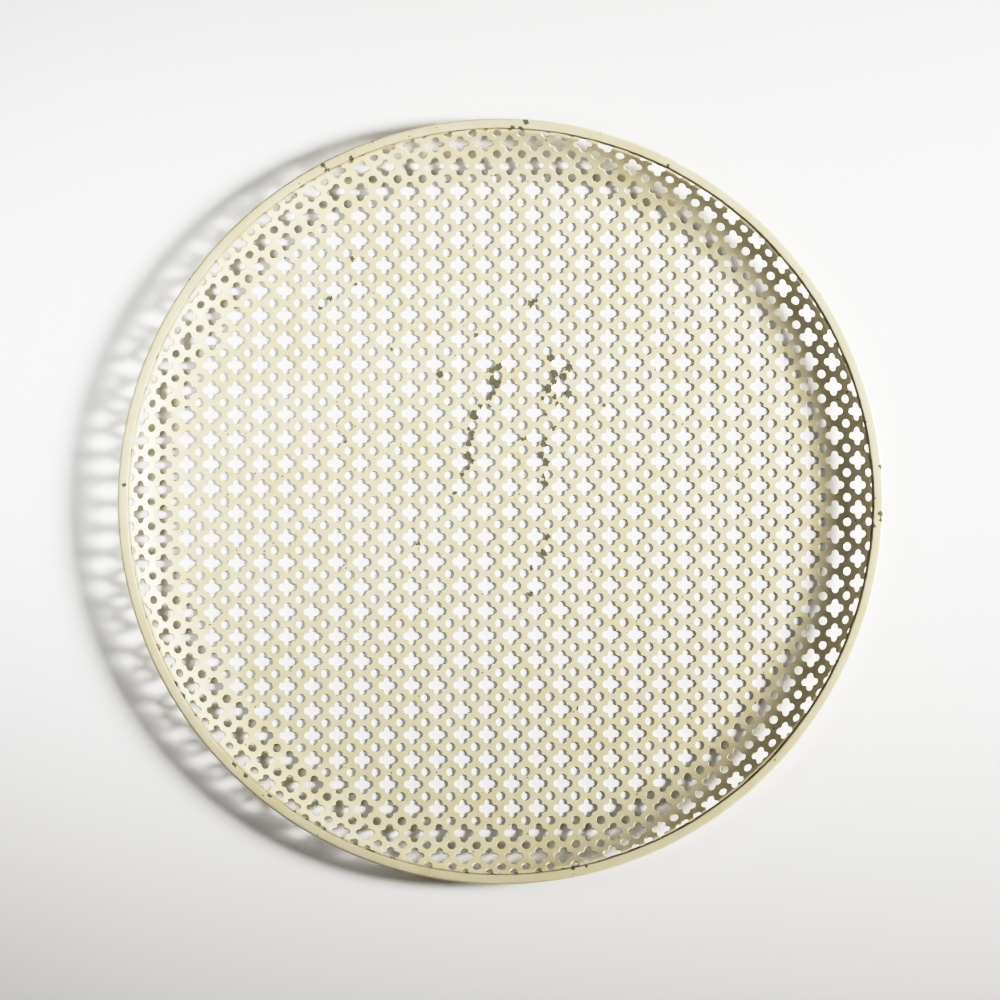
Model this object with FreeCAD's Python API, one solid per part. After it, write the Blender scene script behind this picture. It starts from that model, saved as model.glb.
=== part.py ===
import FreeCAD, Part
import math
import os

V = FreeCAD.Vector

# ---- driving dimensions, mm: +Z is up and the floor of the tray rests on Z = 0 ----
outer_radius = 190.5          # to the outside of the rim band
sheet_t = 0.8                 # perforated sheet
strip_t = 0.8                 # strip that the rim band is folded from

# pressed profile of the sheet, along its mid-surface
floor_radius = 154.5          # where the flat floor begins to curve up
foot_bend_radius = 49.0       # the wide, gentle curve at the foot of the wall
foot_angle = math.radians(22.7)     # slope at which it passes into the wall proper
wall_bend_radius = 26.6
wall_angle = math.radians(51.0)     # slope at the top of the wall
flange_bend_radius = 1.3      # where the wall turns outward into the flange
flange_width = 4.2            # level flange that the band grips

# hole pattern: rows of four-lobed holes, with a round hole in the middle of each cell
pitch_x, pitch_y = 12.45, 12.36
pattern_turn = 0.37           # degrees from the tray's X axis to the rows
pattern_x, pattern_y = -0.8, 0.95   # the round hole nearest to the middle of the tray
lobe_offset = 2.85            # from the centre of a four-lobed hole to the centre of each lobe
lobe_radius = 1.9
tooth_radius = 0.6            # rounding of the metal between two lobes
round_hole_radius = 2.2
wedge_count = 15              # equal wedges that the sheet's faces are laid out in

# rim band: a channel that opens inward and grips the flange
fold_radius = 1.1             # outside radius of its two folds
upper_leg_radius = 185.6      # inner edge of the upper leg
lower_leg_radius = 184.9      # inner edge of the lower leg
closing_start = 113.8         # degrees from +X at which the closing piece begins
closing_end = 117.6
butt_gap = 0.15               # between the closing piece and each end of the band

# lengths of sheet from the middle outward, each with its bend radius, or None where it is straight
lengths = (
    (floor_radius, None),
    (foot_bend_radius * foot_angle, foot_bend_radius),
    (wall_bend_radius * (wall_angle - foot_angle), wall_bend_radius),
    (flange_bend_radius * wall_angle, -flange_bend_radius),
    (flange_width, None),
)
blank_radius = sum(length for length, bend_radius in lengths)
cutter_length = 8 * sheet_t   # long enough for a hole that runs over the bend of the flange
wedge_angle = 360 / wedge_count


def formed(flat_radius):
    """Radius, height and slope in radians that a radius on the flat blank has once pressed."""
    radius, height, slope = 0.0, sheet_t / 2, 0.0
    for length, bend_radius in lengths:
        step = min(length, flat_radius)
        flat_radius -= step
        if bend_radius is None:
            radius += step * math.cos(slope)
            height += step * math.sin(slope)
        else:
            turned = slope + step / bend_radius
            radius += bend_radius * (math.sin(turned) - math.sin(slope))
            height += bend_radius * (math.cos(slope) - math.cos(turned))
            slope = turned
    return radius, height, slope


flange_z = formed(blank_radius)[1]


def profile_point(flat_radius, offset):
    """A point of the pressed profile in the XZ plane, moved along the normal of the sheet."""
    radius, height, slope = formed(flat_radius)
    return V(radius - offset * math.sin(slope), 0, height + offset * math.cos(slope))


def profile_edges(offset):
    """One face of the pressed sheet, from the middle of the floor to the edge of the flange."""
    edges = []
    start = 0.0
    for length, bend_radius in lengths:
        first, middle, last = [profile_point(start + part * length, offset) for part in (0, 0.5, 1)]
        if bend_radius is None:
            edges.append(Part.makeLine(first, last))
        else:
            edges.append(Part.Arc(first, middle, last).toShape())
        start += length
    return edges


def make_pressed_sheet():
    """The sheet before it is perforated, as wedges joined into one solid."""
    under, over = profile_edges(-sheet_t / 2), profile_edges(sheet_t / 2)
    rim_points = [profile_point(blank_radius, offset) for offset in (-sheet_t / 2, sheet_t / 2)]
    axis = Part.makeLine(V(0, 0, 0), V(0, 0, sheet_t))
    section = Part.Face(Part.Wire(under + [Part.makeLine(*rim_points)] + over[::-1] + [axis]))
    section.rotate(V(0, 0, 0), V(0, 0, 1), wedge_angle / 2)
    wedge = section.revolve(V(0, 0, 0), V(0, 0, 1), wedge_angle)
    wedges = []
    for n in range(wedge_count):
        turned = wedge.copy()
        turned.rotate(V(0, 0, 0), V(0, 0, 1), n * wedge_angle)
        wedges.append(turned)
    return wedges[0].multiFuse(wedges[1:])


def around(centre, radius, degrees):
    angle = math.radians(degrees)
    return centre + V(radius * math.cos(angle), radius * math.sin(angle), 0)


def lobed_outline():
    """Four lobes about the origin, joined by small rounded teeth."""
    reach = lobe_radius + tooth_radius
    tooth_xy = (lobe_offset + math.sqrt(2 * reach ** 2 - lobe_offset ** 2)) / 2
    half_sweep = math.degrees(math.atan2(tooth_xy, tooth_xy - lobe_offset))
    edges = []
    for turn in (0, 90, 180, 270):
        lobe = around(V(0, 0, 0), lobe_offset, turn)
        tooth = around(V(0, 0, 0), tooth_xy * math.sqrt(2), turn + 45)
        lobe_angles = (turn - half_sweep, turn, turn + half_sweep)
        tooth_angles = (turn + 180 + half_sweep, turn + 225, turn + 270 - half_sweep)
        edges.append(Part.Arc(*[around(lobe, lobe_radius, a) for a in lobe_angles]).toShape())
        edges.append(Part.Arc(*[around(tooth, tooth_radius, a) for a in tooth_angles]).toShape())
    return Part.Wire(edges)


def make_cutter(outline):
    cutter = Part.Face(outline).extrude(V(0, 0, cutter_length))
    cutter.translate(V(0, 0, -cutter_length / 2))
    return cutter


def placed(cutter, flat_x, flat_y):
    """The cutter where the pressing carries it, square to the sheet there."""
    azimuth = math.atan2(flat_y, flat_x)
    radius, height, slope = formed(math.hypot(flat_x, flat_y))
    hoop = V(-math.sin(azimuth), math.cos(azimuth), 0)
    lean = FreeCAD.Rotation(hoop, -math.degrees(slope))
    turn = FreeCAD.Rotation(V(0, 0, 1), pattern_turn)
    spot = V(radius * math.cos(azimuth), radius * math.sin(azimuth), height)
    return cutter.transformed(FreeCAD.Placement(spot, lean.multiply(turn)).toMatrix())


def make_dish():
    """The pressed sheet with its whole pattern of holes, which the edge of the blank cuts through."""
    lobed = make_cutter(lobed_outline())
    plain = make_cutter(Part.Wire(Part.makeCircle(round_hole_radius)))
    turn = math.radians(pattern_turn)
    row_step = V(pitch_x * math.cos(turn), pitch_x * math.sin(turn), 0)
    column_step = V(-pitch_y * math.sin(turn), pitch_y * math.cos(turn), 0)
    rows = math.ceil(blank_radius / min(pitch_x, pitch_y)) + 1
    holes = []
    for column in range(-rows, rows + 1):
        for row in range(-rows, rows + 1):
            for cutter, i, j in ((plain, column, row), (lobed, column + 0.5, row + 0.5)):
                flat = V(pattern_x, pattern_y, 0) + row_step * i + column_step * j
                if flat.Length < blank_radius + lobe_offset:
                    holes.append(placed(cutter, flat.x, flat.y))
    perforated = make_pressed_sheet().cut(Part.makeCompound(holes))
    # holes that meet the edge of the blank free a few slivers, which are not part of the tray
    return max(perforated.Solids, key=lambda solid: solid.Volume)


def channel_section():
    """Cross-section of the band in the XZ plane."""
    low = flange_z - sheet_t / 2 - strip_t
    high = flange_z + sheet_t / 2 + strip_t

    def leg(edge_radius, height, inward):
        """The upper or lower half of the channel, from its outer wall in to the edge of the leg and back."""
        middle = (low + high) / 2
        inner_fold = fold_radius - strip_t
        outer_z, inner_z = height, height + inward * strip_t
        centre = V(outer_radius - fold_radius, 0, height + inward * fold_radius)
        diagonal = V(math.sqrt(0.5), 0, -inward * math.sqrt(0.5))
        return [
            Part.makeLine(V(outer_radius, 0, middle), V(outer_radius, 0, centre.z)),
            Part.Arc(V(outer_radius, 0, centre.z), centre + diagonal * fold_radius,
                     V(centre.x, 0, outer_z)).toShape(),
            Part.makeLine(V(centre.x, 0, outer_z), V(edge_radius, 0, outer_z)),
            Part.makeLine(V(edge_radius, 0, outer_z), V(edge_radius, 0, inner_z)),
            Part.makeLine(V(edge_radius, 0, inner_z), V(centre.x, 0, inner_z)),
            Part.Arc(V(centre.x, 0, inner_z), centre + diagonal * inner_fold,
                     V(outer_radius - strip_t, 0, centre.z)).toShape(),
            Part.makeLine(V(outer_radius - strip_t, 0, centre.z), V(outer_radius - strip_t, 0, middle)),
        ]

    upper = leg(upper_leg_radius, high, -1)
    lower = leg(lower_leg_radius, low, 1)
    return Part.Face(Part.Wire(upper + lower[::-1]))


def make_channel(start, end):
    """A length of the band between two angles, in degrees from +X."""
    section = channel_section()
    section.rotate(V(0, 0, 0), V(0, 0, 1), start)
    return section.revolve(V(0, 0, 0), V(0, 0, 1), end - start)


gap_angle = math.degrees(butt_gap / outer_radius)
nodes = {
    "perforated_dish": make_dish(),
    "rim_band": make_channel(closing_end + gap_angle, closing_start - gap_angle + 360),
    "rim_closing_piece": make_channel(closing_start, closing_end),
}

os.makedirs("parts", exist_ok=True)
for name, shape in nodes.items():
    shape.exportStep(f"parts/{name}.step")
    print(name, "valid" if shape.isValid() else "NOT VALID", f"{shape.Volume:.1f} mm3")
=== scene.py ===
import math

import bpy
import numpy as np
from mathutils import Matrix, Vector
from mathutils.geometry import delaunay_2d_cdt


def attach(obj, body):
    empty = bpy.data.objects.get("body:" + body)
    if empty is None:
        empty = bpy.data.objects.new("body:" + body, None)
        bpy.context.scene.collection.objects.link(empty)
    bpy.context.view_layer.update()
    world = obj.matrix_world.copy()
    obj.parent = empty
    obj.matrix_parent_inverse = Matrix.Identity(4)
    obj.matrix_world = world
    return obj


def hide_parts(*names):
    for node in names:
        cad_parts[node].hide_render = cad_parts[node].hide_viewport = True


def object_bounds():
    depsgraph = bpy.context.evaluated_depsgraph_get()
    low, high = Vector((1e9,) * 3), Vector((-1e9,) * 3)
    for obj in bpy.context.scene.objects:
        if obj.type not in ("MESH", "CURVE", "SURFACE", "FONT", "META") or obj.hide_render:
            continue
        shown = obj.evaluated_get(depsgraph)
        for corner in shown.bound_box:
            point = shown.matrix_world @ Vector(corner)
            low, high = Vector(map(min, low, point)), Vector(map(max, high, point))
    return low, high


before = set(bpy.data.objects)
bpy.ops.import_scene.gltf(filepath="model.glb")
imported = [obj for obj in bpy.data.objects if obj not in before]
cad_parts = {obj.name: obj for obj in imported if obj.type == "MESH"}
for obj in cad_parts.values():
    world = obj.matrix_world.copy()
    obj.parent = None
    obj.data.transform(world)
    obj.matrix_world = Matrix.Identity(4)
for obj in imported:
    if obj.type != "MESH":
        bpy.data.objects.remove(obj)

cad_low, cad_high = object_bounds()
MM = 0.001                    # metres

# ---- sizes in mm, as in the CAD: the sheet, its pressed profile and its holes ----
OUTER_RADIUS = 1000 * (cad_high.x - cad_low.x) / 2
TOP_Z = 1000 * cad_high.z
SHEET_T = STRIP_T = 0.8
FLANGE_BEND, FLANGE_WIDTH = 1.3, 4.2
FLOOR_RADIUS = 154.5
FOOT_BEND, FOOT_ANGLE = 49.0, math.radians(22.7)
WALL_BEND, WALL_ANGLE = 26.6, math.radians(51.0)
UPPER_LEG_RADIUS = 185.6
LOWER_LEG_RADIUS = 184.9
FOLD_RADIUS = 1.1

PITCH_X, PITCH_Y = 12.45, 12.36
PATTERN_TURN = math.radians(0.37)
PATTERN_ORIGIN = np.array([-0.8, 0.95])
LOBE_OFFSET, LOBE_RADIUS, TOOTH_RADIUS = 2.85, 1.9, 0.6
ROUND_HOLE_RADIUS = 2.2

CLOSING_START, CLOSING_END = 113.8, 117.6     # degrees from +X
BUTT_GAP = 0.15

# ---- the pressed profile: lengths of sheet from the middle outward, each with its bend radius ----
FLAT = 1e9
BENDS = (
    (FLOOR_RADIUS, FLAT),
    (FOOT_BEND * FOOT_ANGLE, FOOT_BEND),
    (WALL_BEND * (WALL_ANGLE - FOOT_ANGLE), WALL_BEND),
    (FLANGE_BEND * WALL_ANGLE, -FLANGE_BEND),
    (FLANGE_WIDTH, FLAT),
)
STATIONS = np.cumsum([0.0] + [length for length, _ in BENDS])
WALL_END_FLAT, FLANGE_START_FLAT, BLANK_RADIUS = STATIONS[3:]


def profile(flat_radius):
    """Radius, height and slope of the sheet's mid-surface at radii on the flat blank."""
    radius = np.zeros_like(flat_radius)
    height = np.full_like(flat_radius, SHEET_T / 2)
    slope = np.zeros_like(flat_radius)
    for start, (length, bend) in zip(STATIONS, BENDS):
        turned = slope + np.clip(flat_radius - start, 0, length) / bend
        radius += bend * (np.sin(turned) - np.sin(slope))
        height += bend * (np.cos(slope) - np.cos(turned))
        slope = turned
    return radius, height, slope


FLANGE_START, FLANGE_Z, _ = (float(value[0]) for value in profile(np.array([FLANGE_START_FLAT])))
# holes wholly past this radius of the blank lie 1 mm or more under the band and are left out
HIDDEN_FLAT = FLANGE_START_FLAT + UPPER_LEG_RADIUS + 1.0 - FLANGE_START

UNEVENNESS = 0.12             # greatest rise of the hand-worked sheet
TRUE_MARGIN = 20              # over this width next to the wall's end the sheet becomes true


def unevenness(x, y):
    """Slow rise and fall of the sheet, never below its resting plane."""
    waves = np.sin(x / 43 + 0.8) * np.cos(y / 57 - 0.5) + np.sin(y / 31 + 2.1) * np.cos(x / 37 + 1.7)
    return UNEVENNESS * (waves + 2) / 4


def formed(flat, offset):
    """Points of the flat blank (n, 2) as points (n, 3) of the pressed sheet, moved along its normal."""
    x, y = flat.T
    r = np.maximum(np.hypot(x, y), 1e-9)
    radius, height, slope = profile(r)
    radius -= offset * np.sin(slope)
    height += offset * np.cos(slope)
    fade = np.clip((WALL_END_FLAT - r) / TRUE_MARGIN, 0, 1)      # the rim is held true by its band
    return np.c_[x / r * radius, y / r * radius, height + fade * unevenness(x, y)]


# ---- outlines of the holes on the flat blank ----
def ring(centre, radius, degrees):
    a = np.radians(degrees)
    return np.c_[centre[0] + radius * np.cos(a), centre[1] + radius * np.sin(a)]


def lobed_outline(steps=6):
    reach = LOBE_RADIUS + TOOTH_RADIUS
    tooth = (LOBE_OFFSET + math.sqrt(2 * reach ** 2 - LOBE_OFFSET ** 2)) / 2
    half_sweep = math.degrees(math.atan2(tooth, tooth - LOBE_OFFSET))
    lobes = []
    for turn in (0, 90, 180, 270):
        centre = ring((0, 0), LOBE_OFFSET, np.array([turn]))[0]
        lobes.append(ring(centre, LOBE_RADIUS, np.linspace(turn - half_sweep, turn + half_sweep, steps)))
        lobes.append(ring((0, 0), tooth * math.sqrt(2) - TOOTH_RADIUS, np.array([turn + 45])))
    return np.vstack(lobes)


def round_outline(steps=12):
    return ring((0, 0), ROUND_HOLE_RADIUS, np.arange(steps) * 360 / steps)


def hole_outlines():
    """The outline of every hole that shows, each a closed loop of points on the blank."""
    c, s = math.cos(PATTERN_TURN), math.sin(PATTERN_TURN)
    turned = np.array([[c, s], [-s, c]])
    step_x, step_y = PITCH_X * turned[0], PITCH_Y * turned[1]
    kinds = ((0.0, round_outline() @ turned), (0.5, lobed_outline() @ turned))
    count = int(BLANK_RADIUS / PITCH_Y) + 2
    outlines = []
    for i in range(-count, count + 1):
        for j in range(-count, count + 1):
            for half, outline in kinds:
                loop = PATTERN_ORIGIN + (i + half) * step_x + (j + half) * step_y + outline
                if np.hypot(*loop.T).min() < HIDDEN_FLAT:
                    outlines.append(loop)
    return outlines


# ---- mesh helpers ----
def add_mesh(name, points_mm, faces, smooth_below=40):
    mesh = bpy.data.meshes.new(name)
    mesh.from_pydata(np.asarray(points_mm) * MM, [], faces)
    mesh.update()
    mesh.validate()
    mesh.shade_smooth()
    mesh.set_sharp_from_angle(angle=math.radians(smooth_below))
    piece = bpy.data.objects.new(name, mesh)
    bpy.context.scene.collection.objects.link(piece)
    return piece


def triangulated_blank():
    """Triangles of the blank with its holes left out, and rings of points where the flange turns."""
    points, loops, edges = [], [], []

    def add_loop(loop):
        start = sum(map(len, points))
        points.append(loop)
        return list(range(start, start + len(loop)))

    around = np.arange(360)      # a point at every degree
    loops.append(add_loop(ring((0, 0), BLANK_RADIUS, around)))
    loops += [add_loop(outline) for outline in hole_outlines()]
    for radius in np.linspace(WALL_END_FLAT, FLANGE_START_FLAT, 4):
        loop = add_loop(ring((0, 0), radius, around + 0.5))
        edges += list(zip(loop, loop[1:] + loop[:1]))
    flat = [Vector(p) for p in np.vstack(points)]
    as_given, tolerance = 0, 1e-5
    verts, _, faces, _, _, inside = delaunay_2d_cdt(flat, edges, loops, as_given, tolerance)
    kept = [f for f, where in zip(faces, inside) if list(where) == [0]]
    flat = np.array([tuple(v) for v in verts])
    tri = np.array(kept)
    a, b, c = flat[tri[:, 0]], flat[tri[:, 1]], flat[tri[:, 2]]
    area = (b[:, 0] - a[:, 0]) * (c[:, 1] - a[:, 1]) - (b[:, 1] - a[:, 1]) * (c[:, 0] - a[:, 0])
    tri[area < 0] = tri[area < 0][:, ::-1]
    used, tri = np.unique(tri, return_inverse=True)
    return flat[used], tri.reshape(-1, 3)


def make_dish():
    """The pressed sheet: both faces, the holes' walls, and a bevel where paint softens each upper edge."""
    soften = 0.14
    flat, tri = triangulated_blank()
    n = len(flat)
    directed = np.vstack([tri[:, [0, 1]], tri[:, [1, 2]], tri[:, [2, 0]]])
    code, back = directed[:, 0] * n + directed[:, 1], directed[:, 1] * n + directed[:, 0]
    border = directed[~np.isin(code, back)]

    run = flat[border[:, 1]] - flat[border[:, 0]]
    to_hole = np.c_[run[:, 1], -run[:, 0]] / np.hypot(*run.T)[:, None]
    normal = np.zeros((n, 2))
    np.add.at(normal, border[:, 0], to_hole)
    np.add.at(normal, border[:, 1], to_hole)
    length = np.hypot(*normal.T)
    edge_points = np.flatnonzero(length > 0)
    normal[edge_points] /= length[edge_points, None]

    top = formed(flat - soften * normal, SHEET_T / 2)
    bottom = formed(flat, -SHEET_T / 2)
    shoulder = formed(flat[edge_points], SHEET_T / 2 - soften)
    to_shoulder = np.full(n, -1)
    to_shoulder[edge_points] = 2 * n + np.arange(len(edge_points))

    a, b = border[:, 0], border[:, 1]
    faces = tri.tolist()
    faces += (tri[:, ::-1] + n).tolist()
    faces += np.c_[to_shoulder[a], to_shoulder[b], b, a].tolist()
    faces += np.c_[a + n, b + n, to_shoulder[b], to_shoulder[a]].tolist()
    return add_mesh("dish_sheet", np.vstack([top, bottom, shoulder]), faces)


# ---- rim band ----
def band_section():
    """Closed cross-section of the channel as (radius, height) in mm, with softened leg edges."""
    low, high = FLANGE_Z - SHEET_T / 2 - STRIP_T, TOP_Z
    edge = 0.32                   # rounding of the edge of each leg
    crown = 0.05                  # rise of the top face between its fold and its edge
    inner_fold = FOLD_RADIUS - STRIP_T
    points = []

    def turn(centre_r, centre_z, radius, start, end, steps):
        for a in np.radians(np.linspace(start, end, steps)):
            points.append((centre_r + radius * math.cos(a), centre_z + radius * math.sin(a)))

    fold_r = OUTER_RADIUS - FOLD_RADIUS
    turn(LOWER_LEG_RADIUS + edge, low + edge, edge, 180, 270, 4)
    turn(fold_r, low + FOLD_RADIUS, FOLD_RADIUS, -90, 0, 8)
    turn(fold_r, high - FOLD_RADIUS, FOLD_RADIUS, 0, 90, 8)
    for share in (0.25, 0.5, 0.75):
        r = fold_r + share * (UPPER_LEG_RADIUS - fold_r)
        points.append((r, high + crown * math.sin(math.pi * share)))
    turn(UPPER_LEG_RADIUS + edge, high - edge, edge, 90, 180, 5)
    points.append((UPPER_LEG_RADIUS, high - STRIP_T))
    turn(fold_r, high - FOLD_RADIUS, inner_fold, 90, 0, 4)
    turn(fold_r, low + FOLD_RADIUS, inner_fold, 0, -90, 4)
    points.append((LOWER_LEG_RADIUS, low + STRIP_T))
    return np.array(points)


def make_band(name, start, end, end_shape):
    """A length of the channel from start to end in degrees. end_shape moves its ends, mm by radius."""
    section = band_section()
    count = max(8, int((end - start) * 2))       # two sections to a degree
    angles = np.linspace(start, end, count)
    r, z = section[:, 0], section[:, 1]
    inner_share = np.clip((OUTER_RADIUS - r) / (OUTER_RADIUS - UPPER_LEG_RADIUS), 0, 1)
    upper = (z > FLANGE_Z + SHEET_T / 2 + 0.05).astype(float)
    rows = []
    for k, degrees in enumerate(angles):
        a = math.radians(degrees)
        # the upper leg's edge wanders in and out, and its top dips, by small fractions of a millimetre
        wander = 0.10 * math.sin(23 * a + 1) + 0.08 * math.sin(41 * a) + 0.06 * math.sin(67 * a + 2)
        dip = 0.04 * math.sin(19 * a + 0.5) + 0.03 * math.sin(37 * a + 2.2)
        rr = r + wander * inner_share * upper
        zz = z - np.abs(dip) * upper
        aa = np.full(len(r), a)
        if k in (0, count - 1):
            shift = np.array([end_shape(value) for value in r]) / r
            aa = aa + (shift if k == 0 else -shift)
        rows.append(np.c_[rr * np.cos(aa), rr * np.sin(aa), zz])
    m = len(section)
    faces = []
    for k in range(count - 1):
        for i in range(m):
            j = (i + 1) % m
            faces.append((k * m + i, (k + 1) * m + i, (k + 1) * m + j, k * m + j))
    faces.append(tuple(range(m)))
    faces.append(tuple((count - 1) * m + i for i in reversed(range(m))))
    return add_mesh(name, np.vstack(rows), faces)


# ---- materials; lengths in their noises and patterns are in mm ----
class Nodes:
    """Short calls for building a node tree."""

    def __init__(self, name):
        self.material = bpy.data.materials.new(name)
        self.material.use_nodes = True
        self.tree = self.material.node_tree
        self.tree.nodes.clear()

    def add(self, kind, **settings):
        node = self.tree.nodes.new(kind)
        for key, value in settings.items():
            setattr(node, key, value)
        return node

    def put(self, socket, value):
        if isinstance(value, bpy.types.NodeSocket):
            self.tree.links.new(value, socket)
        else:
            socket.default_value = value

    def math(self, operation, a, b=0.0, clamp=False):
        node = self.add("ShaderNodeMath", operation=operation, use_clamp=clamp)
        self.put(node.inputs[0], a)
        self.put(node.inputs[1], b)
        return node.outputs[0]

    def vector(self, operation, a, b=(0, 0, 0)):
        node = self.add("ShaderNodeVectorMath", operation=operation)
        self.put(node.inputs[0], a)
        if operation == "SCALE":
            self.put(node.inputs["Scale"], b)
        elif operation != "LENGTH":
            self.put(node.inputs[1], b)
        return node.outputs["Value" if operation in ("LENGTH", "DISTANCE", "DOT_PRODUCT") else "Vector"]

    def noise(self, where, scale, detail=3.0, roughness=0.55):
        node = self.add("ShaderNodeTexNoise")
        self.put(node.inputs["Vector"], where)
        node.inputs["Scale"].default_value = scale
        node.inputs["Detail"].default_value = detail
        node.inputs["Roughness"].default_value = roughness
        return node

    def ramp(self, value, low, high, smooth=True):
        """0 at low, 1 at high; low may be above high."""
        node = self.add("ShaderNodeMapRange", interpolation_type="SMOOTHSTEP" if smooth else "LINEAR")
        self.put(node.inputs["Value"], value)
        node.inputs["From Min"].default_value = low
        node.inputs["From Max"].default_value = high
        return node.outputs["Result"]

    def mix(self, share, a, b, blend="MIX"):
        node = self.add("ShaderNodeMix", data_type="RGBA", blend_type=blend)
        self.put(node.inputs[0], share)
        self.put(node.inputs[6], a)
        self.put(node.inputs[7], b)
        return node.outputs[2]


def srgb(r, g, b):
    """A colour given as 0 to 255 in sRGB, for a socket."""
    def linear(v):
        v /= 255
        return v / 12.92 if v <= 0.04045 else ((v + 0.055) / 1.055) ** 2.4
    return (linear(r), linear(g), linear(b), 1.0)


def nearest_spot(n, where, spots):
    """Distance to the nearest spot as a share of that spot's radius; spots are (x, y, radius) in mm."""
    nearest = None
    for x, y, radius in spots:
        share = n.math("DIVIDE", n.vector("DISTANCE", where, (x, y, 0)), radius)
        nearest = share if nearest is None else n.math("MINIMUM", nearest, share)
    return nearest


CREAM_FRESH, CREAM_AGED, CREAM_MOTTLE = srgb(215, 209, 185), srgb(210, 201, 171), srgb(213, 205, 172)
# the second colour is dirt in the band's joint together with painted shade of its crevice
TEA, DIRT_AND_SHADE = srgb(208, 178, 126), srgb(124, 108, 80)
PRIMER_DARK, PRIMER_PALE = srgb(98, 98, 82), srgb(126, 125, 104)


def yellowed_cream(n, mm):
    """Cream paint with broad yellowing and a finer mottle, and the mottle, which the gloss follows."""
    broad = n.noise(mm, 0.022, 4).outputs["Fac"]
    blotch = n.noise(mm, 0.11, 3).outputs["Fac"]
    yellow = n.math("ADD", n.math("MULTIPLY", broad, 0.55), n.math("MULTIPLY", blotch, 0.45))
    cream = n.mix(n.ramp(yellow, 0.40, 0.62), CREAM_FRESH, CREAM_AGED)
    mottle = n.noise(mm, 0.7, 4).outputs["Fac"]
    return n.mix(n.math("MULTIPLY", n.ramp(mottle, 0.45, 0.75), 0.25), cream, CREAM_MOTTLE), mottle


def stained(n, mm, flat, stains):
    """How strongly tea has stained each place: wavering rounds, broken up by a finer noise."""
    wobble = n.vector("SUBTRACT", n.noise(mm, 0.10, 2).outputs["Color"], (0.5, 0.5, 0.5))
    near = nearest_spot(n, n.vector("ADD", flat, n.vector("SCALE", wobble, 9.0)), stains)
    broken = n.ramp(n.noise(mm, 0.45, 4).outputs["Fac"], 0.40, 0.62)
    share = n.math("MULTIPLY", n.ramp(near, 1.1, 0.2), broken)
    return n.math("MULTIPLY", share, 0.55)


def chipped(n, mm, flat, chips):
    """1 where whole angular cells of paint have gone, around each spot of chips."""
    jitter = n.vector("SUBTRACT", n.noise(mm, 1.1, 3).outputs["Color"], (0.5, 0.5, 0.5))
    cells = n.add("ShaderNodeTexVoronoi", feature="F1", voronoi_dimensions="2D")
    n.put(cells.inputs["Vector"], n.vector("ADD", flat, n.vector("SCALE", jitter, 0.9)))
    cells.inputs["Scale"].default_value = 1.25
    return n.ramp(nearest_spot(n, cells.outputs["Position"], chips), 1.27, 1.23)


def pricked(n, flat):
    """Nearly 1 in pin-prick specks of bare primer, which only a few of the cells have."""
    pricks = n.add("ShaderNodeTexVoronoi", feature="F1", voronoi_dimensions="2D")
    n.put(pricks.inputs["Vector"], flat)
    pricks.inputs["Scale"].default_value = 0.22
    rare = n.add("ShaderNodeSeparateColor")
    n.put(rare.inputs[0], pricks.outputs["Color"])
    size = n.math("MULTIPLY", n.ramp(rare.outputs[0], 0.86, 1.0), 0.10)
    prick = n.ramp(n.math("SUBTRACT", pricks.outputs["Distance"], size), 0.01, -0.01)
    return n.math("MULTIPLY", prick, 0.85)


def joint_line(n, mm, flat, joint_radius):
    """1 along the ragged line where sheet and band meet, and how dark it is painted there: dirt in the crack
    together with painted shade of the crevice, most towards +Y and -Y.
    """
    radius = n.vector("LENGTH", flat)
    off_joint = n.math("ABSOLUTE", n.math("SUBTRACT", radius, joint_radius))
    ragged = n.math("MULTIPLY", n.noise(mm, 0.35, 4, 0.7).outputs["Fac"], 0.75)
    joint = n.ramp(n.math("SUBTRACT", off_joint, ragged), 0.06, -0.16)
    # painted shade: the darkening is weak towards ±X, where the band's own shadow already darkens the joint,
    # and strong towards ±Y
    across = n.vector("LENGTH", n.vector("MULTIPLY", mm, (0, 1 / OUTER_RADIUS, 0)))
    dirt_and_shade = n.math("ADD", n.math("MULTIPLY", n.math("POWER", across, 2.0), 0.5), 0.1)
    return joint, dirt_and_shade


def finish_satin(n, mm, colour, mottle, worn):
    """A satin surface with a faint orange peel. Where it is worn it is matt and sits lower."""
    peel = n.noise(mm, 1.9, 2).outputs["Fac"]
    gloss = n.math("ADD", 0.36, n.math("MULTIPLY", mottle, 0.16))
    roughness = n.math("ADD", gloss, n.math("MULTIPLY", worn, 0.35), clamp=True)
    height = n.math("SUBTRACT", n.math("MULTIPLY", peel, 0.04), n.math("MULTIPLY", worn, 0.10))
    bump = n.add("ShaderNodeBump")
    bump.inputs["Strength"].default_value = 0.7
    bump.inputs["Distance"].default_value = MM
    n.put(bump.inputs["Height"], height)

    shader = n.add("ShaderNodeBsdfPrincipled")
    n.put(shader.inputs["Base Color"], colour)
    n.put(shader.inputs["Roughness"], roughness)
    n.put(shader.inputs["Normal"], bump.outputs[0])
    shader.inputs["IOR"].default_value = 1.5
    out = n.add("ShaderNodeOutputMaterial")
    n.put(out.inputs["Surface"], shader.outputs[0])


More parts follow.
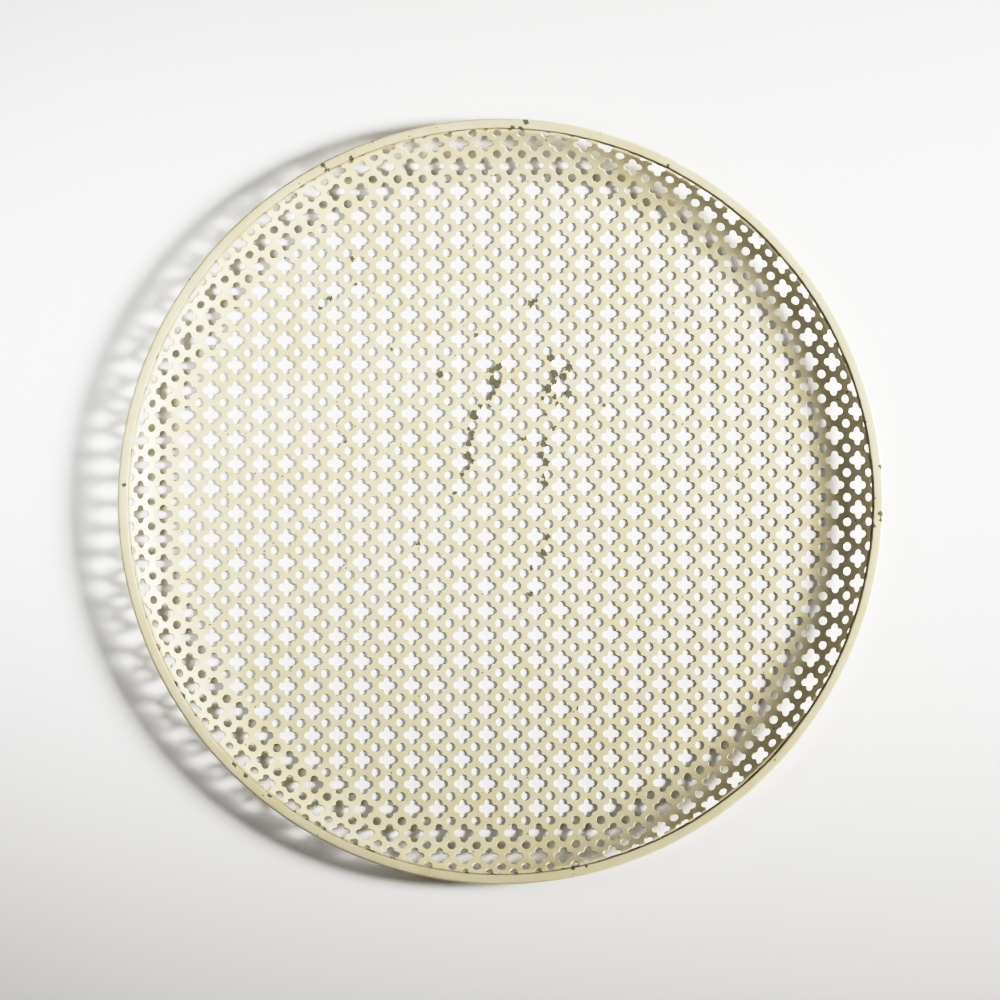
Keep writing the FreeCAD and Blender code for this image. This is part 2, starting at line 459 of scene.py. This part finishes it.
def enamel(name, chips, stains, joint_radius):
    """Old cream enamel over olive primer: mottled, specked, chipped, and dark along the band's joint with
    dirt and painted crevice shade.
    """
    n = Nodes(name)
    place = n.add("ShaderNodeTexCoord").outputs["Object"]
    mm = n.vector("SCALE", place, 1 / MM)
    flat = n.vector("MULTIPLY", mm, (1, 1, 0))

    cream, mottle = yellowed_cream(n, mm)
    colour = n.mix(stained(n, mm, flat, stains), cream, TEA)
    bare = n.math("MAXIMUM", chipped(n, mm, flat, chips), pricked(n, flat))
    primer = n.mix(n.ramp(n.noise(mm, 1.6, 4).outputs["Fac"], 0.3, 0.7), PRIMER_DARK, PRIMER_PALE)
    colour = n.mix(bare, colour, primer)
    joint, dirt_and_shade = joint_line(n, mm, flat, joint_radius)
    # painted shade: the joint line is darkened as crevice shade as well as dirt
    colour = n.mix(n.math("MULTIPLY", joint, dirt_and_shade), colour, DIRT_AND_SHADE)
    finish_satin(n, mm, colour, mottle, n.math("MAXIMUM", bare, joint))
    return n.material


# where paint has flaked from the floor: (x, y, radius) in mm, along two lines of knocks and a few strays
FLOOR_CHIPS = [
    (-0.7, 67.6, 1.3), (-2.6, 66.6, 1.2), (-4.4, 65.4, 1.2), (-3.9, 62.5, 1.0), (-2.7, 59.3, 2.4),
    (-4.4, 54.6, 1.3), (-6.0, 52.2, 1.5), (-6.1, 47.9, 0.9), (-9.9, 47.7, 1.0), (-13.3, 43.2, 1.9),
    (-15.9, 36.6, 0.9), (-14.4, 34.2, 1.2), (-15.2, 31.5, 1.3), (-16.0, 28.6, 1.1), (-16.5, 22.8, 1.7),
    (-14.5, 20.0, 1.1), (-16.6, 16.9, 1.0), (-19.2, 13.5, 1.0), (-22.8, 4.2, 0.9),
    (25.4, 71.5, 1.6), (34.0, 66.9, 1.6), (26.8, 63.8, 1.7), (26.3, 60.0, 1.3), (31.2, 62.4, 1.6),
    (23.4, 56.3, 1.8), (33.7, 53.9, 1.6), (26.8, 52.3, 1.0), (28.0, 48.9, 0.9), (21.1, 51.4, 0.9),
    (22.8, 43.4, 0.8), (26.6, 36.6, 0.9), (11.1, 31.3, 0.8), (13.0, 31.4, 0.7), (22.1, 31.2, 1.0),
    (21.6, 28.4, 1.3), (20.0, 23.2, 1.4), (22.5, 19.4, 1.6), (21.4, 12.6, 1.1), (21.7, 8.7, 1.5),
    (23.2, -17.8, 1.2), (21.7, -25.8, 1.6), (20.4, -29.0, 1.0), (15.2, -33.3, 1.0), (14.7, -46.3, 1.1),
    (13.7, -73.3, 0.9), (15.2, 98.7, 1.5), (17.0, 100.2, 1.0), (-30.3, 63.7, 1.4), (-77.8, 30.2, 0.9),
    (-12.3, 83.2, 0.8), (51.6, 48.0, 0.8), (-74.3, 121.2, 0.9), (-85.3, 101.7, 1.1), (-89.8, 96.7, 0.9),
    (-72.3, 108.7, 0.8), (-54.3, 76.2, 0.8), (38.5, -104.0, 0.8), (-41.0, -21.0, 0.9),
]
FLOOR_STAINS = [(-32.8, 87.7, 8.0), (-24.0, 88.2, 5.0), (-41.5, 88.4, 5.0), (-34.8, -123.3, 5.0),
                (8.0, 20.0, 10.0), (6.0, 4.0, 9.0), (-12.0, 5.0, 7.0), (5.0, 62.0, 9.0)]


def on_band(degrees, radius, size):
    a = math.radians(degrees)
    return (radius * math.cos(a), radius * math.sin(a), size)


BAND_INNER, BAND_OUTER = UPPER_LEG_RADIUS + 0.3, OUTER_RADIUS - 1.1
BAND_CHIPS = [
    on_band(86.2, BAND_OUTER, 1.2), on_band(87.0, BAND_INNER, 0.9), on_band(88.2, BAND_INNER, 0.9),
    on_band(5.3, BAND_OUTER, 1.0), on_band(-1.9, BAND_OUTER - 0.4, 1.2), on_band(-2.7, BAND_OUTER, 0.8),
    on_band(-3.7, BAND_INNER, 0.9), on_band(177.5, OUTER_RADIUS - 3.0, 0.8), on_band(224.7, BAND_INNER, 1.0),
    on_band(227.0, BAND_INNER, 0.8), on_band(231.9, BAND_INNER, 1.0), on_band(281.1, BAND_INNER, 0.9),
    on_band(283.2, BAND_INNER, 0.8), on_band(117.9, BAND_OUTER - 0.3, 1.0), on_band(117.7, BAND_INNER, 1.0),
    on_band(113.5, BAND_INNER + 0.4, 1.0), on_band(63.5, BAND_INNER + 0.3, 0.7),
]
BAND_STAINS = [on_band(62.2, BAND_INNER + 1.2, 2.0), on_band(61.4, BAND_INNER + 1.6, 1.6)]


def make_stage():
    """A pale tabletop that runs out of sight."""
    half = 6.0
    mesh = bpy.data.meshes.new("tabletop")
    corners = [(-half, -half, 0), (half, -half, 0), (half, half, 0), (-half, half, 0)]
    mesh.from_pydata(corners, [], [(0, 1, 2, 3)])
    floor = bpy.data.objects.new("tabletop", mesh)
    bpy.context.scene.collection.objects.link(floor)
    n = Nodes("pale_paper")
    shader = n.add("ShaderNodeBsdfPrincipled")
    shader.inputs["Base Color"].default_value = (0.93, 0.93, 0.93, 1)
    shader.inputs["Roughness"].default_value = 0.9
    shader.inputs["Specular IOR Level"].default_value = 0.1
    out = n.add("ShaderNodeOutputMaterial")
    n.put(out.inputs["Surface"], shader.outputs[0])
    mesh.materials.append(n.material)


def add_softbox(name, azimuth, elevation, distance, size, watts, colour, aim, spread):
    """A round softbox turned to the point aim, its azimuth from +X towards +Y.

    A narrow spread makes its light fall off around that point.
    """
    a, e = math.radians(azimuth), math.radians(elevation)
    toward = Vector((math.cos(a) * math.cos(e), math.sin(a) * math.cos(e), math.sin(e)))
    data = bpy.data.lights.new(name, "AREA")
    data.shape = "DISK"
    data.size = size
    data.energy = watts
    data.color = colour
    data.spread = math.radians(spread)
    lamp = bpy.data.objects.new(name, data)
    lamp.location = toward * distance
    lamp.rotation_euler = (lamp.location - Vector(aim)).to_track_quat("Z", "Y").to_euler()
    bpy.context.scene.collection.objects.link(lamp)


def light_scene():
    """A softbox low on the right, a weaker one close on the left, and a little light from all round."""
    world = bpy.data.worlds.new("studio")
    world.use_nodes = True
    background = world.node_tree.nodes["Background"]
    background.inputs["Color"].default_value = (1.0, 0.91, 0.78, 1)
    background.inputs["Strength"].default_value = 0.125
    bpy.context.scene.world = world
    add_softbox("key", azimuth=4, elevation=24.0, distance=2.3, size=0.74, watts=5.4,
                colour=(1.0, 0.99, 0.98), aim=(0.28, 0.085, 0), spread=25)
    add_softbox("fill", azimuth=172, elevation=45, distance=0.55, size=0.30, watts=0.42,
                colour=(0.98, 0.99, 1.0), aim=(-0.16, 0.08, 0), spread=90)


def set_tone():
    """A tone curve like film: light up to three times white is held, and shadows are deepened."""
    brightest = 3.0
    shown = ((0.153, 0.068), (0.252, 0.145), (0.495, 0.365), (0.8, 0.64), (1.3, 0.87), (1.8, 0.96))
    view = bpy.context.scene.view_settings
    view.view_transform = "Standard"
    view.use_curve_mapping = True
    view.curve_mapping.white_level = (brightest, brightest, brightest)
    combined = view.curve_mapping.curves[3]
    for light, tone in shown:
        combined.points.new(light / brightest, tone)
    view.curve_mapping.update()


def make_camera():
    """Straight above, a little off the tray's middle, as far off as a copy stand's long lens."""
    height, width_seen, sensor = 2.4, 0.5, 36.0
    data = bpy.data.cameras.new("camera")
    data.sensor_width = sensor
    data.lens = sensor * (height - SHEET_T * MM) / width_seen
    data.clip_end = 50
    camera = bpy.data.objects.new("camera", data)
    camera.location = (-0.0003, 0.0007, height)
    bpy.context.scene.collection.objects.link(camera)
    bpy.context.scene.camera = camera


# ---- build ----
dish_paint = enamel("dish_enamel", FLOOR_CHIPS, FLOOR_STAINS, UPPER_LEG_RADIUS - 0.1)
band_paint = enamel("band_enamel", BAND_CHIPS, BAND_STAINS, UPPER_LEG_RADIUS)

dish = make_dish()
dish.data.materials.append(dish_paint)
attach(dish, "root")
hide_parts("perforated_dish")

half_gap = math.degrees(BUTT_GAP / OUTER_RADIUS)
middle = (OUTER_RADIUS + UPPER_LEG_RADIUS) / 2
band = make_band("folded_band", CLOSING_END + half_gap, CLOSING_START - half_gap + 360, lambda r: 0.0)
closing = make_band("closing_piece", CLOSING_START, CLOSING_END, lambda r: -0.1 if r > middle else 0.0)
for piece, node in ((band, "rim_band"), (closing, "rim_closing_piece")):
    piece.data.materials.append(band_paint)
    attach(piece, "root")
    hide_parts(node)

make_stage()
light_scene()
set_tone()
make_camera()
